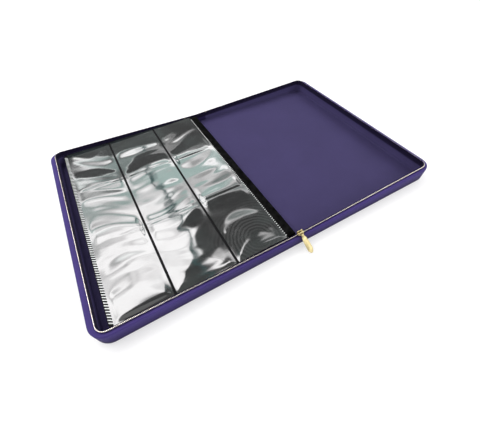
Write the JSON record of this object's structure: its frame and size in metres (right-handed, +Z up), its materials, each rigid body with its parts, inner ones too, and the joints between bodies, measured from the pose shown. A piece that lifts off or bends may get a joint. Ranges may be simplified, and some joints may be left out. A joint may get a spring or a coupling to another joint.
{
  "type": "coin album",
  "caption": "Zip-round album of nine-pocket leaves for coins or cards in sleeves, shown open flat: two leather-covered trays hinged on a spine, with a gold slider and pull tab.",
  "frame": {"origin": "centre of the spine's underside, on the surface that the open album lies on", "axes": "+X across the spine to the empty back cover, +Y along the spine to the far edge, +Z up out of the open album"},
  "size_m": [0.4826, 0.3296, 0.0249],
  "materials": {
    "leather": "fine-grained purple coated leather, satin",
    "lining": "smooth purple inner facing, low sheen",
    "board": "plain grey stiffener board",
    "zip_tape": "dark navy woven tape",
    "zip_teeth": "pale gold coil teeth",
    "gold_metal": "polished pale gold",
    "film": "clear glossy crinkled pocket film",
    "backing": "black matt sheet"
  },
  "bodies": {
    "back_cover": {"back_cover_skin": "leather", "back_cover_board": "board", "back_cover_lining": "lining", "back_cover_rim": "leather", "back_cover_zip_tape": "zip_tape", "back_cover_zip_teeth": "zip_teeth", "back_cover_zip_top_stop": "gold_metal"},
    "spine": {"spine_skin": "leather", "spine_board": "board", "binding_strip": "backing", "spine_lining": "lining", "front_hinge_leather": "leather", "back_hinge_leather": "leather", "near_front_gusset": "leather", "near_back_gusset": "leather", "far_front_gusset": "leather", "far_back_gusset": "leather", "near_front_zip_tail": "zip_teeth", "near_back_zip_tail": "zip_teeth", "far_front_zip_tail": "zip_teeth", "far_back_zip_tail": "zip_teeth", "leaf_1_hinge_strip": "backing", "leaf_2_hinge_strip": "backing", "leaf_3_hinge_strip": "backing", "leaf_4_hinge_strip": "backing", "leaf_5_hinge_strip": "backing", "leaf_6_hinge_strip": "backing"},
    "front_cover": {"front_cover_skin": "leather", "front_cover_board": "board", "front_cover_lining": "lining", "front_cover_rim": "leather", "front_cover_zip_tape": "zip_tape", "front_cover_zip_teeth": "zip_teeth", "front_cover_zip_top_stop": "gold_metal"},
    "leaf_1": {"leaf_1_back_film": "film", "leaf_1_backing": "backing", "leaf_1_front_film": "film"},
    "leaf_2": {"leaf_2_back_film": "film", "leaf_2_backing": "backing", "leaf_2_front_film": "film"},
    "leaf_3": {"leaf_3_back_film": "film", "leaf_3_backing": "backing", "leaf_3_front_film": "film"},
    "leaf_4": {"leaf_4_back_film": "film", "leaf_4_backing": "backing", "leaf_4_front_film": "film"},
    "leaf_5": {"leaf_5_back_film": "film", "leaf_5_backing": "backing", "leaf_5_front_film": "film"},
    "leaf_6": {"leaf_6_back_film": "film", "leaf_6_backing": "backing", "leaf_6_front_film": "film"},
    "zip_start": {"zip_bottom_stop": "gold_metal"},
    "slider": {"zip_slider": "gold_metal", "slider_crown": "gold_metal"},
    "pull_tab": {"pull_tab": "gold_metal"}
  },
  "joints": [
    {"name": "spine_fold", "type": "hinge", "parent": "back_cover", "child": "spine", "pos_m": [0.01772, 0, 0.0015], "axis": [0, 1, 0], "range_deg": [0, 88.3]},
    {"name": "front_cover_fold", "type": "hinge", "parent": "spine", "child": "front_cover", "pos_m": [-0.01772, 0, 0.0015], "axis": [0, 1, 0], "range_deg": [0, 88.3], "deforming": ["near_front_gusset", "near_back_gusset", "far_front_gusset", "far_back_gusset", "near_front_zip_tail", "near_back_zip_tail", "far_front_zip_tail", "far_back_zip_tail", "front_hinge_leather", "back_hinge_leather", "leaf_1_hinge_strip", "leaf_2_hinge_strip", "leaf_3_hinge_strip", "leaf_4_hinge_strip", "leaf_5_hinge_strip", "leaf_6_hinge_strip"]},
    {"name": "leaf_1_turn", "type": "hinge", "parent": "spine", "child": "leaf_1", "pos_m": [-0.0122, 0, 0.0043], "axis": [0, 1, 0], "range_deg": [0, 88.31]},
    {"name": "leaf_2_turn", "type": "hinge", "parent": "spine", "child": "leaf_2", "pos_m": [-0.0122, 0, 0.0043], "axis": [0, 1, 0], "range_deg": [0, 88.91]},
    {"name": "leaf_3_turn", "type": "hinge", "parent": "spine", "child": "leaf_3", "pos_m": [-0.0122, 0, 0.0043], "axis": [0, 1, 0], "range_deg": [0, 89.51]},
    {"name": "leaf_4_turn", "type": "hinge", "parent": "spine", "child": "leaf_4", "pos_m": [-0.0122, 0, 0.0043], "axis": [0, 1, 0], "range_deg": [0, 90.11]},
    {"name": "leaf_5_turn", "type": "hinge", "parent": "spine", "child": "leaf_5", "pos_m": [-0.0122, 0, 0.0043], "axis": [0, 1, 0], "range_deg": [0, 90.71]},
    {"name": "leaf_6_turn", "type": "hinge", "parent": "spine", "child": "leaf_6", "pos_m": [-0.0122, 0, 0.0043], "axis": [0, 1, 0], "range_deg": [0, 91.31]},
    {"name": "zip_start_shift", "type": "slide", "parent": "back_cover", "child": "zip_start", "axis": [0.9996, 0, 0.0297], "range_m": [0, 0.03101]},
    {"name": "zip_slide", "type": "slide", "parent": "zip_start", "child": "slider", "axis": [0.9996, 0, 0.0297], "range_m": [0, 0.165]},
    {"name": "pull_tab_swing", "type": "hinge", "parent": "slider", "child": "pull_tab", "pos_m": [0.0035, -0.1548, 0.0188], "axis": [-0.9996, 0, -0.0297], "range_deg": [0, 83.6]}
  ],
  "couplings": [
    {"joint": "leaf_1_turn", "follows": "front_cover_fold", "ratio": 1},
    {"joint": "leaf_2_turn", "follows": "front_cover_fold", "ratio": 1.0068},
    {"joint": "leaf_3_turn", "follows": "front_cover_fold", "ratio": 1.0136},
    {"joint": "leaf_4_turn", "follows": "front_cover_fold", "ratio": 1.0204},
    {"joint": "leaf_5_turn", "follows": "front_cover_fold", "ratio": 1.0272},
    {"joint": "leaf_6_turn", "follows": "front_cover_fold", "ratio": 1.034},
    {"joint": "zip_start_shift", "follows": "spine_fold", "m_per_rad": 0.020115}
  ]
}
